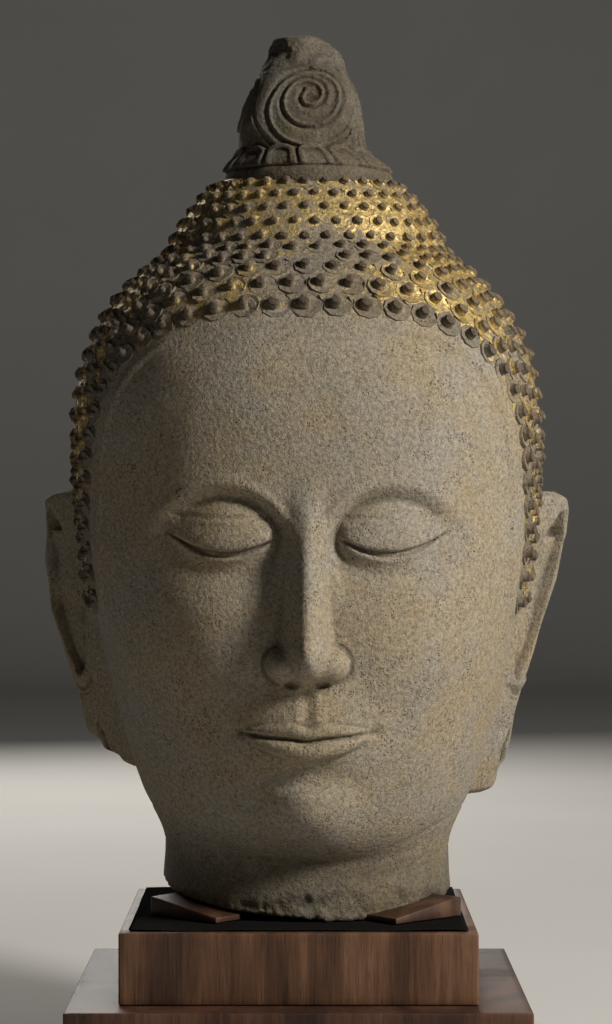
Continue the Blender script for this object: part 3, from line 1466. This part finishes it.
spread = np.stack([radius * np.cos(turn), radius * np.sin(turn), height], -1)
on_petals = smoothstep(575.8, 577, height) * (1 - smoothstep(595, 597.5, height))
push = petal_relief(turn, height, 52) * on_petals * (radius > 0)
out_way = np.stack([np.cos(turn), np.sin(turn), 0 * turn], -1)
shaped = spread + out_way * push[:, None]

break_height = 655 + 2.5 * roughness(spread, 16, 36) + 0.08 * spread[:, 0]
on_scrolls = smoothstep(588, 596, height) * (1 - smoothstep(-3, 1, height - break_height))
on_scrolls = on_scrolls * (1 - 0.85 * smoothstep(1.0, 2.5, push))
for quarter in range(4):
    facing = FRONT_TURN + quarter * math.pi / 2
    out_side = np.array([math.cos(facing), math.sin(facing), 0])
    along_side = np.array([-math.sin(facing), math.cos(facing), 0])
    across, depth = spread @ along_side - SCROLL_ACROSS, spread @ out_side
    up = height - SCROLL_HEIGHT
    on_side = smoothstep(-3, 3, depth - np.abs(across + SCROLL_ACROSS))
    outside = np.hypot(across, up) > 43
    carved = np.where(outside, corner_grooves(across, up), scroll_relief(across, up))
    shaped += out_side * (carved * on_side * on_scrolls)[:, None]

broken_off = smoothstep(-1.0, 1.6, height - break_height) * (1 - smoothstep(676, 685, height))
shaped[:, 1] *= 1 - 0.13 * broken_off
worn = smoothstep(650, 662, height)
wear = 2.2 * roughness(spread, 15, 31) + 1.5 * roughness(spread, 6.5, 32) + 0.7 * roughness(spread,
    2.8, 33)
wear = wear * worn + (0.4 * roughness(spread, 9, 34) + 0.2 * roughness(spread, 3, 37)) * (1 - worn)
shaped += out_way * (wear * np.clip(radius / 22, 0, 1))[:, None]
shaped[:, 2] += 1.4 * roughness(spread, 12, 35) * smoothstep(670, 683,
    height) - 1.0 * smoothstep(680, 685, height)
shaped[:, 0] += np.interp(height, *np.array(FINIAL_MIDDLE, float).T)
carve(finial, shaped)
finial = thin_out(as_object("finial", finial, TO_ROW), 24000)

# %% Where the gold has stayed
def gilt_share(points):
    """How much leaf is left at places on the head, from 0 to 1."""
    x, height = points[:, 0], points[:, 2]
    from_middle = np.abs(x) + 0.25 * np.clip(points[:, 1] + 60, 0, 200)
    sides = smoothstep(40, 125, from_middle)
    crown = smoothstep(512, 548, height)
    clouds = 0.26 * roughness(points, 46, 51) + 0.14 * roughness(points, 19, 52)
    return np.clip(0.35 + 0.14 * sides + 0.13 * crown + clouds, 0, 1)


def points_of(piece):
    flat = np.zeros(3 * len(piece.data.vertices))
    piece.data.vertices.foreach_get("co", flat)
    return (flat.reshape(-1, 3) - np.array(head_axis)) / MM


curl_gilt = gilt_share(points_of(curls))
first = np.repeat([float(first) for first, _ in curl_facts], verts_each)
curl_gilt = curl_gilt * (1 - 0.75 * first)

skin_points = points_of(skin)
scalp = (behind_hairline(skin_points) > 9) & (skin_points[:, 2] > NAPE)
skin_gilt = np.where(scalp, gilt_share(skin_points) + 0.08, 0)
neck_soot = 0.80 * (1 - smoothstep(34, 82, skin_points[:, 2]))
skin_soot = np.maximum(0.25 * scalp, neck_soot)
print("share of the scalp's points with gold under them:", round(float(scalp.mean()), 2))

# %% One stone
ATTRIBUTES = {
    skin: {"is_curl": 0, "rise": 0, "chance": 0.5, "gilt": skin_gilt, "soot": skin_soot},
    finial: {"is_curl": 0, "rise": 0, "chance": 0.5, "gilt": 0, "soot": 1},
    curls: {
        "is_curl": 1, "rise": np.tile(rise_in_pattern, len(curl_facts)),
        "chance": np.repeat([chance for _, chance in curl_facts], verts_each), "gilt": curl_gilt,
        "soot": 0.22},
}
PLAIN_STONE = {"is_curl": 0, "rise": 0, "chance": 0.5, "gilt": 0, "soot": 0.15}
parts = [skin, curls, right_ear, left_ear, finial]
for piece in parts:
    for name, values in ATTRIBUTES.get(piece, PLAIN_STONE).items():
        set_attribute(piece, name, values)

with bpy.context.temp_override(active_object=skin, selected_editable_objects=parts):
    bpy.ops.object.join()
head = skin
head.name = "stone_head"
dress(head, stone.material)
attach(head, "root")
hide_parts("head")
print("stone head:", triangles_in(head), "triangles")

# %% [markdown]
# ## The plinth
#
# Two solid blocks of dark wood, the smaller on the larger, each with its sharp edges just
# broken. Their faces are divided so that the edges can carry the small dents and the slight
# hollows that a block picks up in use.

# %% Blocks of the plinth
EDGE_ROUND = 0.0014
GRAIN_STEP = 0.006


def block(name, node, seed):
    low_corner, high_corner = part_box(node)
    size = high_corner - low_corner
    work = bmesh.new()
    bmesh.ops.create_cube(work, size=1)
    bmesh.ops.scale(work, verts=work.verts[:], vec=size)
    bmesh.ops.translate(work, verts=work.verts[:], vec=(low_corner + high_corner) / 2)
    for axis in range(3):
        lines = [edge for edge in work.edges
                 if abs((edge.verts[0].co - edge.verts[1].co)[axis]) > 0.9 * size[axis]]
        cuts = max(2, round(size[axis] / GRAIN_STEP) - 1)
        bmesh.ops.subdivide_edges(work, edges=lines, cuts=cuts, use_grid_fill=True)
    corners = [edge for edge in work.edges if edge.calc_face_angle(0) > 1]
    bmesh.ops.bevel(
        work, geom=corners, offset=EDGE_ROUND, affect="EDGES", segments=2, profile=0.5, material=-1)
    piece = as_object(name, work)
    print(name, [round(value, 4) for value in size], "m,", triangles_in(piece), "triangles")
    return piece


lower_block = block("lower_block", "plinth_lower_block", 41)
upper_block = block("upper_block", "plinth_upper_block", 42)
dress(lower_block, lower_wood)
dress(upper_block, upper_wood)
for piece, node in ((lower_block, "plinth_lower_block"), (upper_block, "plinth_upper_block")):
    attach(piece, "root")
    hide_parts(node)

# %% [markdown]
# ## Mat and wedges
#
# A sheet of thin black felt keeps the stone from the wood. Two small hardwood wedges, rounded
# at their thick ends, fill the gap under the broken neck and keep the head upright.

# %% The felt mat
MAT_WAVE = 0.0005


def felt_mat():
    low_corner, high_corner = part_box("felt_mat")
    middle = (low_corner + high_corner) / 2
    size = high_corner - low_corner
    work = bmesh.new()
    bmesh.ops.create_grid(work, x_segments=72, y_segments=68, size=0.5)
    for vert in work.verts:
        x, y = vert.co.x, vert.co.y
        rim = max(abs(x), abs(y)) * 2
        wave = math.sin(17 * x + 5 * y) * math.sin(13 * y - 4 * x)
        lift = MAT_WAVE * wave * rim ** 6
        vert.co = (middle.x + size.x * x, middle.y + size.y * y, high_corner.z - MAT_WAVE + lift)
    bmesh.ops.recalc_face_normals(work, faces=work.faces[:])
    bmesh.ops.solidify(work, geom=work.faces[:], thickness=size.z - 2 * MAT_WAVE)
    bmesh.ops.recalc_face_normals(work, faces=work.faces[:])
    return as_object("mat", work)


mat = felt_mat()
dress(mat, felt)
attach(mat, "root")
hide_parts("felt_mat")
print("mat:", triangles_in(mat), "triangles")

# %% The wedges
WEDGE_LENGTH, WEDGE_WIDTH, WEDGE_THIN, WEDGE_THICK = 0.071, 0.034, 0.004, 0.0148
WEDGE_TURNS = {"wedge_right": 0.725, "wedge_left": math.pi - 0.716}


def wedge(name, node, turn):
    low_corner, high_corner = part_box(node)
    middle = (low_corner + high_corner) / 2
    work = bmesh.new()
    bmesh.ops.create_cube(work, size=1)
    for vert in work.verts:
        x = WEDGE_LENGTH * vert.co.x
        y = WEDGE_WIDTH * vert.co.y
        tall = WEDGE_THICK if vert.co.x > 0 else WEDGE_THIN
        vert.co = (x, y, tall if vert.co.z > 0 else 0)
    thick_end = [edge for edge in work.edges if all(vert.co.x > 0 for vert in edge.verts)
                 and max(vert.co.z for vert in edge.verts) > 0.01]
    bmesh.ops.bevel(
        work, geom=thick_end, offset=0.005, affect="EDGES", segments=5, profile=0.5, material=-1)
    sharp = [edge for edge in work.edges if edge.calc_face_angle(0) > 0.5]
    bmesh.ops.bevel(
        work, geom=sharp, offset=0.0006, affect="EDGES", segments=2, profile=0.5, material=-1)
    bmesh.ops.rotate(work, verts=work.verts[:], cent=(0, 0, 0), matrix=Matrix.Rotation(turn, 3,
        "Z"))
    bmesh.ops.translate(work, verts=work.verts[:], vec=(middle.x, middle.y, low_corner.z))
    bmesh.ops.recalc_face_normals(work, faces=work.faces[:])
    piece = as_object(name, work)
    dress(piece, wedge_wood)
    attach(piece, "root")
    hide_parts(node)
    return piece


wedges = [wedge("hardwood_" + node, node, turn) for node, turn in WEDGE_TURNS.items()]
print("wedges:", [piece.name for piece in wedges])
